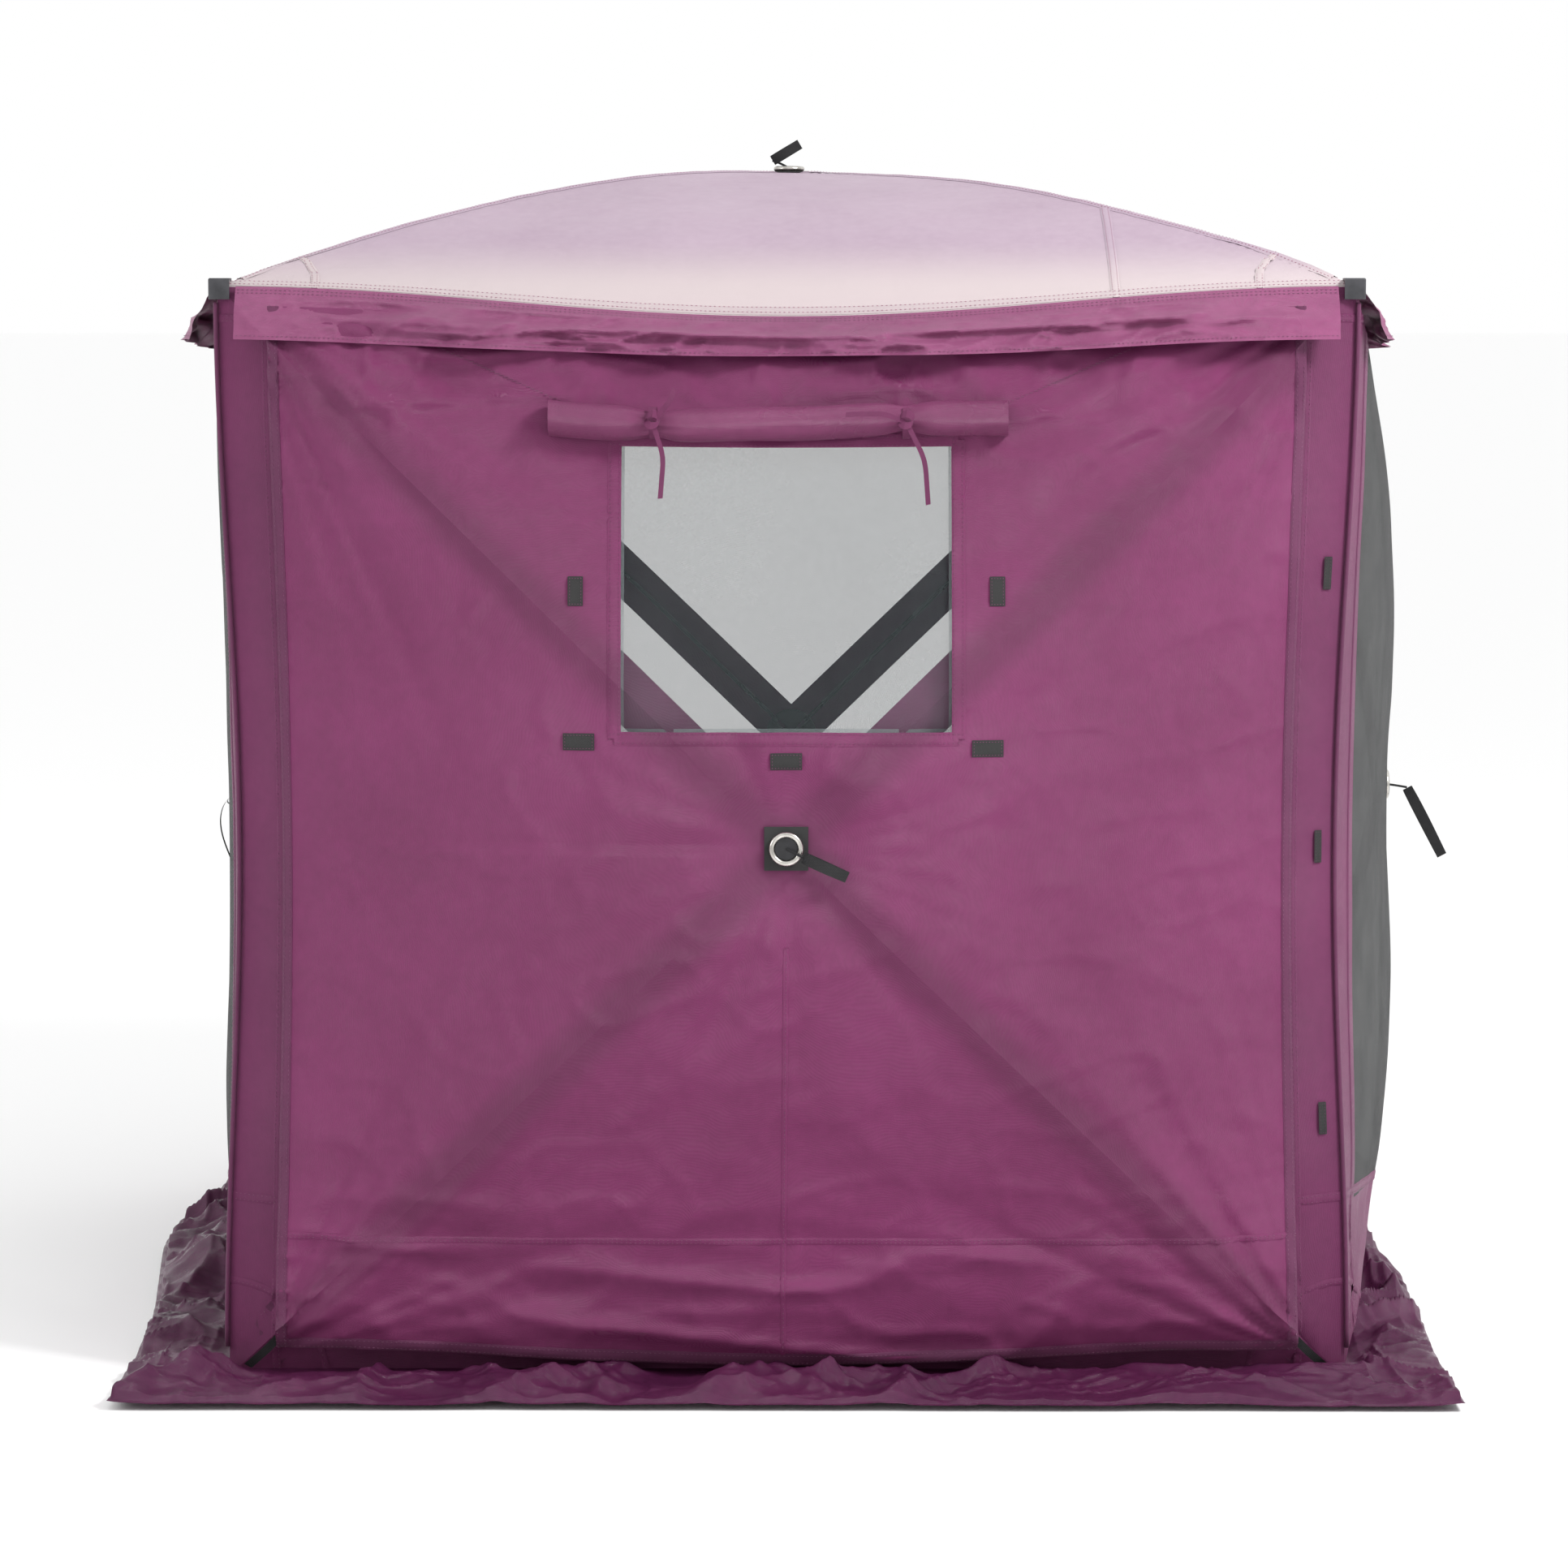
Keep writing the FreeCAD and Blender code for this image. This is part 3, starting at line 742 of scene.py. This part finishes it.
def flap():
    """The window's flap, a spiral of cloth that its ribbons pinch."""
    low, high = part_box("flap_roll")
    centre, radius = (low + high) / 2, (high.z - low.z) / 2
    turns, inner = 4.2, 0.006
    angle = np.linspace(0, turns * 2 * math.pi, 190)
    spiral = inner + (radius - inner) * angle / angle[-1]
    sections = []
    for x in np.linspace(low.x, high.x, 120):
        pinch = sum(math.exp(-((x - tie) / 0.028) ** 2) for tie in tie_places())
        loose = 1 + 0.10 * noise(x * 9 + 0 * angle, angle * 0.8, 31) - 0.30 * pinch
        loose += (0.03 + 0.12 * pinch) * noise(x * 12 + 0 * angle, angle * 3.2, 32)
        r = np.minimum(spiral * loose, radius * 1.1)
        dip = -0.009 * (1 - ((x - centre.x) / (high.x - centre.x)) ** 2) + 0.004 * math.sin(x * 9)
        sections.append(np.stack([np.full(len(angle), x), centre.y + r * np.sin(angle),
                                  centre.z + dip + r * np.cos(angle)], 1))
    obj = swept("window_flap", sections, [FLAP])
    bend(obj)
    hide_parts("flap_roll")


def tie_places():
    """The middles of the two ribbons along the roll."""
    low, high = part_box("flap_ties")
    half = 0.011
    return (low.x + half, high.x - half)


def ribbon(name, points, across, width, material=RIBBON):
    """A ribbon through points, its width along across."""
    points = np.asarray(points, float)
    steps = np.linspace(0, len(points) - 1, len(points) * 5)
    base = np.arange(len(points))
    line = np.stack([np.interp(steps, base, points[:, k]) for k in range(3)], 1)
    kernel = np.array([1, 2, 3, 2, 1]) / 9
    smooth = np.stack([np.convolve(np.pad(line[:, k], 2, "edge"), kernel, "valid")
                       for k in range(3)], 1)
    across = np.asarray(across, float)
    across = across / np.linalg.norm(across)
    sections = [[p + across * width * k for k in (-0.5, -0.25, 0, 0.25, 0.5)] for p in smooth]
    return swept(name, sections, [material])


def ties():
    """Two ribbons, each a loop round the roll, a knot and two tails."""
    low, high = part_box("flap_roll")
    centre, radius = (low + high) / 2, (high.z - low.z) / 2
    made = []
    tails = {0: [(0.012, -0.125), (0.036, 0.055)], 1: [(0.035, -0.135), (-0.10, 0.012)]}
    for k, x in enumerate(tie_places()):
        snug = radius * 0.86
        ring = [(x, centre.y - snug * math.cos(a), centre.z - 0.006 + snug * math.sin(a))
                for a in np.linspace(0, 2 * math.pi, 26)]
        made.append(ribbon(f"tie_loop_{k}", ring, (1, 0, 0), 0.012))
        for m, (dx, dz) in enumerate(tails[k]):
            start = np.array([x, centre.y - radius - 0.004, centre.z - 0.004])
            end = start + (dx, -0.008, dz)
            middle = (start + end) / 2 + (0.012, -0.006, 0.008)
            length = np.linalg.norm(end - start)
            side = np.cross((end - start) / length, (0, -1, 0))
            made.append(ribbon(f"tie_tail_{k}_{m}", [start, middle, end], side, 0.008))
        knot = [(x + 0.012 * math.sin(a), centre.y - radius - 0.006 - 0.004 * math.cos(2 * a),
                 centre.z + 0.010 * math.cos(a)) for a in np.linspace(0, 2 * math.pi, 12)]
        made.append(ribbon(f"tie_knot_{k}", knot, (0.3, 0.2, 1), 0.012))
    for obj in made:
        bend(obj)
        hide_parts("flap_ties")


flap()
ties()


# ---- the roof and its valance ----

def roof_folds(u, v):
    """The canopy sinks between its rods, with pull lines from the corners and the hub."""
    s = np.maximum(np.abs(u), np.abs(v)) / HALF
    other = np.minimum(np.abs(u), np.abs(v)) / HALF
    total = -0.012 * np.sin(math.pi * np.clip(s, 0, 1)) * (1 - (other / (s + SMALL)) ** 2)
    for k, (x, y) in enumerate(CORNERS):
        total += 0.007 * fan(u, v, (x * HALF, y * HALF), 0.35, 6.0, 41 + k)
    total += 0.004 * fan(u, v, (0, 0), 0.25, 5.0, 46)
    total += 0.003 * noise(u * 3, v * 3, 47) + 0.0007 * noise(u * 30, v * 30, 48)
    return total * (1 - np.exp(-(np.hypot(u, v) / 0.07) ** 2)) * np.clip((1 - s) * 14, 0, 1)


def gusset(corner):
    """The curved seam round a roof corner."""
    angles = np.linspace(0, math.pi / 2, 14)
    return [(corner[0] * (HALF - 0.155 * math.cos(a) ** 0.8),
             corner[1] * (HALF - 0.155 * math.sin(a) ** 0.8)) for a in angles]


def roof():
    """The canopy with its seams, corner gussets and pale edge."""
    d = Drawing()
    d.grid((-HALF, HALF), (-HALF, HALF), 0.014, 0.0, 0)
    for side in (1, -1):
        reach = HALF * DIAGONAL_REACH
        path = [(-reach, -side * reach), (reach, side * reach)]
        d.seam(path, 0.022, 0.002, 0, 3, (-0.3, 0.3))
    for corner in CORNERS:
        d.seam(gusset(corner), 0.014, 0.0018, 1, 3)
    d.seam([(0.53, -HALF), (0.545, HALF)], 0.016, 0.0018, 0, 3)
    inset = HALF - 0.012
    border = outline((-inset, inset), (-inset, inset))
    for start, end in zip(border, border[1:]):
        d.seam([start, end], 0.018, 0.002, 1, 3)

    def gap(u, v, is_cloth):
        return math.hypot(u, v) < HUB_HOLE

    hang("roof", ROOF, d, [CANOPY, CREAM, CREAM, ROOF_THREAD], 0.0, roof_folds,
         (), gap, ("roof_canopy",))


VALANCE_DROP = 0.084
VALANCE_HALF = 0.885


def valance_points(face, u, drop, lift):
    """The valance hangs clear of the cloth behind it, with long creases along it."""
    t = drop / VALANCE_DROP
    ends = np.clip((0.9 - np.abs(u)) / 0.25, 0, 1)
    ripple = 0.012 * (1 + noise(u * 6, t * 1.3, 52)) + 0.016 * crease(u * 4 + t, t * 3.6, 53)
    ripple += 0.012 * crease(u * 6 - 2 * t, t * 2.2 + u * 9, 54)
    ripple += 0.007 * crease(u * 23 + 3 * t, t * 4.5 - u * 6, 56)
    folded = 0.016 * np.exp(-((t - 0.45 - 0.25 * noise(u * 2, 0 * u, 55)) / 0.13) ** 2)
    v = MID + 0.001 - drop * (1 + 0.05 * noise(u * 3, 0 * u, 51))
    out = face.bow(u, v) + 0.010 + 0.030 * t + lift
    shape = ripple * np.sqrt(np.clip(t, 0, 1)) + folded
    out += np.clip(t * 5, 0, 1) * shape * (0.2 + 0.8 * ends)
    return face.world(u, v, out)


def valance(face):
    """The creased strip that hangs below an eave, and its stitching."""
    across = np.linspace(-VALANCE_HALF, VALANCE_HALF, 380)
    rows = [valance_points(face, across, 0 * across + drop, 0.0)
            for drop in np.linspace(0, VALANCE_DROP, 24)]
    obj = swept(f"valance_{face.name}", rows, [VALANCE])
    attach(obj, ROOT)
    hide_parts("roof_valances")
    rows = Drawing()
    for drop in (0.005, 0.010, 0.078):
        rows.stitches([(-0.88, drop), (0.88, drop)], 0.0012, 0)
    points = np.concatenate(rows.points)
    sewn = mesh_object(f"valance_stitches_{face.name}",
                       valance_points(face, points[:, 0], points[:, 1], points[:, 2]),
                       rows.faces, rows.marks, [THREAD])
    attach(sewn, ROOT)


roof()
for wall_face in WALLS:
    valance(wall_face)


# ---- the snow skirt ----

SKIRT_FRONT = 0.25
SKIRT_BACK = 0.25


def side_reach(b, side):
    """How far the skirt reaches out beside the shelter, from b = -1 in front to 1 behind."""
    if side > 0:
        return 0.165 + 0.015 * np.cos(math.pi / 2 * b) ** 2
    return 0.165 + 0.09 * np.exp(-((b - 0.25) / 0.55) ** 2)


def skirt_outline(count):
    """The wall's foot and the skirt's edge, point for point round the shelter."""
    ring = np.linspace(-1, 1, count)
    a = np.concatenate([ring[:-1], np.ones(count - 1), -ring[:-1], -np.ones(count - 1)])
    b = np.concatenate([-np.ones(count - 1), ring[:-1], np.ones(count - 1), -ring[:-1]])
    reach_x = np.where(a > 0, side_reach(b, 1), side_reach(b, -1))
    reach_y = np.where(b < 0, SKIRT_FRONT, SKIRT_BACK)
    inner = np.stack([a, b], 1) * (HALF + 0.004)
    outer = inner + np.stack([a * reach_x, b * reach_y], 1)
    return a, b, inner, outer


def skirt_height(x, y, t, wild):
    """Height of the creased cloth at a point of the ground, t from the wall out to the edge."""
    turned = (x * 0.8 + y * 0.6, y * 0.8 - x * 0.6)
    folds = 0.022 * crease(turned[0] * 2.2, turned[1] * 8, 61, 2.0)
    folds += 0.017 * crease(x * 7 - y * 2, y * 2.4 + x * 5, 62, 2.0)
    folds += 0.010 * crease(turned[1] * 5 + turned[0] * 12, turned[0] * 4, 63, 2.2)
    folds += 0.005 * crease(x * 24, y * 9 + x * 9, 64, 2.4)
    folds += 0.004 * crease(y * 27 - x * 8, x * 10, 60, 2.4)
    folds += 0.003 * (1 + noise(x * 9, y * 9, 65)) + 0.0008 * noise(x * 60, y * 60, 66)
    swell = np.clip(t / 0.22, 0, 1) ** 1.5 * (0.35 + 0.65 * np.sin(math.pi * t) ** 0.6)
    return 0.006 + 0.008 * (1 - t) ** 4 + folds * swell * wild


def snow_skirt():
    """One ring of creased cloth that lies outward on the ground, wilder at the sides."""
    count, rows = 330, 64
    a, b, inner, outer = skirt_outline(count)
    wild = np.where(np.abs(a) >= 1, 1.8, 1.05)
    wild = np.convolve(np.pad(wild, 30, "wrap"), np.ones(61) / 61, "valid")
    sections = []
    for t in np.linspace(0, 1, rows):
        edge = t * (1 - 0.045 * t * (1 + noise(a * 4 + b, b * 4 - a, 67)) / 2)
        place = inner + (outer - inner) * edge[:, None]
        x, y = place[:, 0], place[:, 1]
        swirl = 0.010 * math.sin(math.pi * t)
        height = skirt_height(x, y, t, wild)
        if t > 0.965:
            height = height * 0.45 + 0.0035
        sections.append(np.stack([x + swirl * noise(x * 7, y * 7, 68),
                                  y + swirl * noise(x * 7, y * 7, 69), height], 1))
    obj = swept("snow_skirt_cloth", sections, [SKIRT], True)
    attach(obj, ROOT)
    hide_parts("snow_skirt")


snow_skirt()


# ---- rods, hubs and hardware ----

def tube(name, line, radius, material, sides=12):
    """A closed round bar along a line."""
    line = np.asarray(line)
    forward = np.gradient(line, axis=0)
    forward /= np.linalg.norm(forward, axis=1)[:, None]
    helper = np.array([0.31, 0.52, 0.79])
    x = np.cross(forward, helper)
    x /= np.linalg.norm(x, axis=1)[:, None]
    y = np.cross(forward, x)
    angles = np.linspace(0, 2 * math.pi, sides, endpoint=False)
    sections = [[p + radius * (math.cos(a) * i + math.sin(a) * j) for a in angles]
                for p, i, j in zip(line, x, y)]
    obj = swept(name, sections, [material], True)
    bm = bmesh.new()
    bm.from_mesh(obj.data)
    bm.verts.ensure_lookup_table()
    for row in (0, len(line) - 1):
        bm.faces.new([bm.verts[row * sides + k] for k in range(sides)])
    bmesh.ops.recalc_face_normals(bm, faces=bm.faces[:])
    bm.to_mesh(obj.data)
    bm.free()
    return obj


PIVOT_EDGE = 0.045
PIVOT_INSET = 0.02
TIP = 0.039
ROD_RADIUS = 0.004
PIPING_RADIUS = 0.004


def rods(face):
    """Four rods that bow with the cloth, each from its bracket to the hub."""
    low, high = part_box(face.hub)
    hub_centre = (np.array(low) + np.array(high)) / 2
    for number, (su, sv) in enumerate(CORNERS, 1):
        pivot = np.array([su * (HALF - PIVOT_EDGE), sv * (face.half_up - PIVOT_EDGE)])
        unit = pivot / np.linalg.norm(pivot)
        k = np.linspace(0, 1, 70)[:, None]
        place = pivot * (1 - k) + unit * TIP * k
        u, v = place[:, 0], place[:, 1]
        s = face.share(u, v)
        out = face.bow(u, v) - 0.012 - 0.004 * (1 - s)
        end = np.clip((s - 0.80) / 0.15, 0, 1)
        out = out * (1 - end) - PIVOT_INSET * end
        line = (face.centre + np.outer(u, face.across) + np.outer(v, face.up)
                + np.outer(out, face.out))
        obj = tube(f"rod_{face.name}_bent_{number}", line, ROD_RADIUS, RODS)
        bend(obj)
        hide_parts(f"rod_{face.name}_{number}")


for each in WALLS + [ROOF]:
    rods(each)


def dress(names, material):
    """Gives CAD nodes a material."""
    for name in names:
        data = nodes[name].data
        data.materials.clear()
        data.materials.append(material)


ALL = [f.name for f in WALLS] + ["roof"]
dress([f"hub_{n}" for n in ALL] + ["top_corner_brackets", "foot_brackets"], PLASTIC)
dress([f"hub_patch_{n}" for n in ALL], HOOKS)
dress([f"hub_ring_{n}" for n in ALL], NICKEL)
dress(["pivot_pins"], STEEL)
dress(["corner_caps"], GREY_PLASTIC)
dress(["door_zip", "zip_slider"], ZIP)
for name in [f"hub_ring_{n}" for n in ALL]:
    nodes[name].data.polygons.foreach_set("use_smooth", [True] * len(nodes[name].data.polygons))


def piping():
    """The piped seam down each upright corner."""
    for number, (x, y) in enumerate(CORNERS, 1):
        z = np.linspace(0.05, HEIGHT - 0.025, 60)
        out = HALF + 0.0035
        line = warp(np.stack([np.full(60, x * out), np.full(60, y * out), z], 1))
        obj = tube(f"corner_piping_{number}", line, PIPING_RADIUS, BORDER, 10)
        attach(obj, ROOT)
        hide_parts("corner_piping")


def corner_straps():
    """The straps that tie the panel's lower corners to the feet."""
    for number, side in enumerate((-1, 1)):
        path = [FRONT.centre + FRONT.across * side * u + FRONT.up * (z - MID) + FRONT.out * out
                for u, z, out in ((0.826, 0.078, 0.052), (0.848, 0.055, 0.050),
                                  (0.868, 0.036, 0.038), (0.884, 0.020, 0.020))]
        obj = ribbon(f"panel_strap_{number}", path, (0.9, 0, side * 0.45), 0.014, BLACK)
        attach(obj, ROOT)
        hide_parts("panel_corner_straps")


HANG_DOWN = ((0, -0.026, 0.026), (0, -0.15, 0.020))
PULLS = {
    "front": ((0.027, -0.012, 0.020), (0.098, -0.044, 0.022)),
    "right": ((0, -0.006, 0.046), (0, -0.132, 0.112)),
    "roof": ((-0.030, 0, 0.022), (0.020, 0, 0.052)),
    "back": HANG_DOWN,
    "left": HANG_DOWN,
}
OPEN_SIDEWAYS = ("right", "roof")
CORD = 0.004


def spline(name, points, radius, material):
    """A cord whose line is a smooth spline with those control points."""
    curve = bpy.data.curves.new(name, "CURVE")
    curve.dimensions = "3D"
    curve.bevel_depth = radius
    curve.bevel_resolution = 4
    curve.use_fill_caps = True
    line = curve.splines.new("NURBS")
    line.points.add(len(points) - 1)
    for point, at in zip(line.points, points):
        point.co = (*at, 1)
    line.order_u = 3
    line.use_endpoint_u = True
    line.resolution_u = 12
    curve.materials.append(material)
    obj = bpy.data.objects.new(name, curve)
    bpy.context.scene.collection.objects.link(obj)
    return obj


def pull_handle(face):
    """The cord out of a hub, and the folded webbing loop on its end."""
    ring_low, ring_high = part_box(f"hub_ring_{face.name}")
    hub_low, hub_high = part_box(face.hub)
    middle = (np.array(ring_low) + np.array(ring_high)) / 2
    fabric = max(np.array(hub_low) @ face.out, np.array(hub_high) @ face.out) - 0.006
    rise = middle + face.out * (fabric - middle @ face.out)

    def at(point):
        return rise + face.across * point[0] + face.up * point[1] + face.out * point[2]

    knuckle, end = PULLS[face.name]
    knuckle, end = at(knuckle), at(end)
    start = at((0, 0, 0.0085))
    bow = (start + knuckle) / 2 + face.out * 0.003
    cord = spline(f"pull_cord_{face.name}", [start, bow, knuckle], CORD / 2, BLACK)
    way = end - knuckle
    length = np.linalg.norm(way)
    way = way / length
    lift = face.out - (face.out @ way) * way
    lift = lift / np.linalg.norm(lift)
    if face.name in OPEN_SIDEWAYS:
        lift = np.cross(way, lift)
    opening = 0.16 * length
    path = [knuckle + way * length * k + lift * opening * math.sin(math.pi * k ** 0.7)
            for k in np.linspace(0, 1, 14)]
    path += [knuckle + way * length * k - lift * opening * 0.5 * math.sin(math.pi * k ** 0.7)
             for k in np.linspace(1, 0.02, 14)[1:]]
    loop = ribbon(f"pull_loop_{face.name}", path, np.cross(way, lift), 0.018, BLACK)
    knot = ribbon(f"pull_knot_{face.name}",
                  [knuckle + way * 0.006 + 0.005 * (math.cos(k) * lift + math.sin(k) * way)
                   for k in np.linspace(0, 2 * math.pi, 14)], np.cross(way, lift), 0.013,
                  BLACK)
    for obj in (cord, loop, knot):
        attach(obj, face.hub)
    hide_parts(f"pull_strap_{face.name}")


piping()
corner_straps()
for each in WALLS + [ROOF]:
    pull_handle(each)


# ---- stage ----

def floor():
    """The white ground that the studio stands on."""
    mesh = bpy.data.meshes.new("floor")
    side, z = 900.0, -0.002
    mesh.from_pydata([(-side, -side, z), (side, -side, z), (side, side, z), (-side, side, z)], [],
                     [(0, 1, 2, 3)])
    obj = bpy.data.objects.new("floor", mesh)
    bpy.context.scene.collection.objects.link(obj)
    n = Nodes("floor_white")
    n.shader.inputs["Base Color"].default_value = (0.97, 0.97, 0.97, 1)
    n.shader.inputs["Roughness"].default_value = 0.9
    mesh.materials.append(n.material)


def lamp(name, place, target, size, power):
    light = bpy.data.lights.new(name, "AREA")
    light.size = size
    light.energy = power
    obj = bpy.data.objects.new(name, light)
    obj.location = place
    obj.rotation_euler = (Vector(target) - Vector(place)).to_track_quat("-Z", "Y").to_euler()
    bpy.context.scene.collection.objects.link(obj)


def studio():
    """An even white world with a key and a fill light."""
    world = bpy.data.worlds.new("studio")
    world.use_nodes = True
    world.node_tree.nodes["Background"].inputs["Color"].default_value = (1, 1, 1, 1)
    world.node_tree.nodes["Background"].inputs["Strength"].default_value = 1.0
    bpy.context.scene.world = world
    lamp("key", (3.4, -3.0, 4.4), (0.2, -0.8, 0.8), 1.2, 240)
    lamp("fill", (-4.2, -2.6, 2.4), (-0.6, -0.8, 0.5), 1.6, 45)
    bpy.context.scene.view_settings.view_transform = "Standard"


def camera():
    """The camera that was fitted to the photo."""
    data = bpy.data.cameras.new("camera")
    data.lens = 109.6
    data.sensor_width = 36
    obj = bpy.data.objects.new("camera", data)
    obj.location = (0.036, -8.627, 1.72)
    obj.rotation_euler = (math.radians(90 - 5.5), 0, math.radians(0.3))
    bpy.context.scene.collection.objects.link(obj)
    bpy.context.scene.camera = obj


floor()
studio()
camera()
